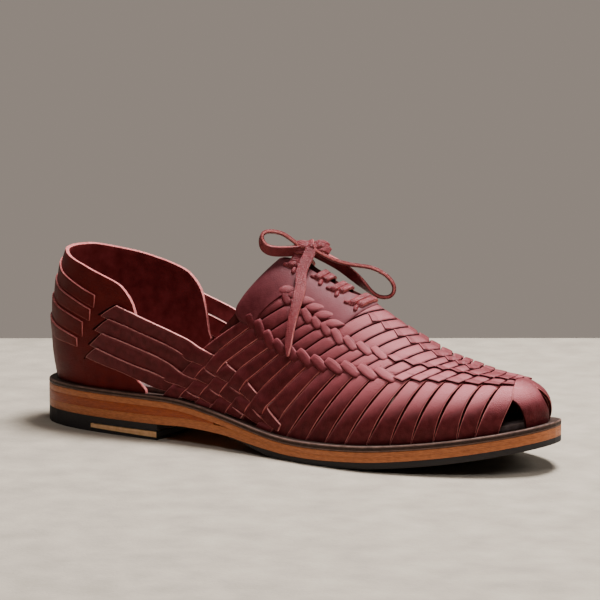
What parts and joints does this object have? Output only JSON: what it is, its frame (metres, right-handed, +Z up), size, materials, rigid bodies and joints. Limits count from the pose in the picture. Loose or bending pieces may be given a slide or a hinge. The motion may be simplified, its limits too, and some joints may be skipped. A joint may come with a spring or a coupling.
{
  "type": "woven lace-up shoe",
  "caption": "Low woven leather lace-up shoe: strips plaited over the vamp, side straps, open toe corners, a thong bow and a stacked leather sole with a low heel.",
  "frame": {"origin": "on the floor, under the middle of the shoe's box", "axes": "+X from heel to toe, +Y to the inner side of the foot, +Z up"},
  "size_m": [0.27, 0.0864, 0.1014],
  "materials": {
    "burgundy_leather": "waxed full grain, satin",
    "lace_leather": "cut thong, satin",
    "insole_leather": "matt nap",
    "welt_leather": "dark stained edge",
    "tan_leather": "trimmed and waxed edge",
    "red_brown_leather": "trimmed and waxed edge",
    "black_rubber": "matt"
  },
  "bodies": {
    "root": {"upper": "burgundy_leather", "insole": "insole_leather", "welt": "welt_leather", "midsole": "tan_leather", "heel_wedge": "red_brown_leather", "outsole_leather": "tan_leather", "outsole_forepart": "black_rubber", "heel_lift": "black_rubber", "heel_inlay": "tan_leather", "lace_bar_1": "lace_leather", "lace_bar_2": "lace_leather", "lace_bar_3": "lace_leather", "lace_bar_4": "lace_leather", "lace_knot": "lace_leather", "lace_loop_left": "lace_leather", "lace_loop_right": "lace_leather", "lace_end_front": "lace_leather"}
  },
  "joints": []
}
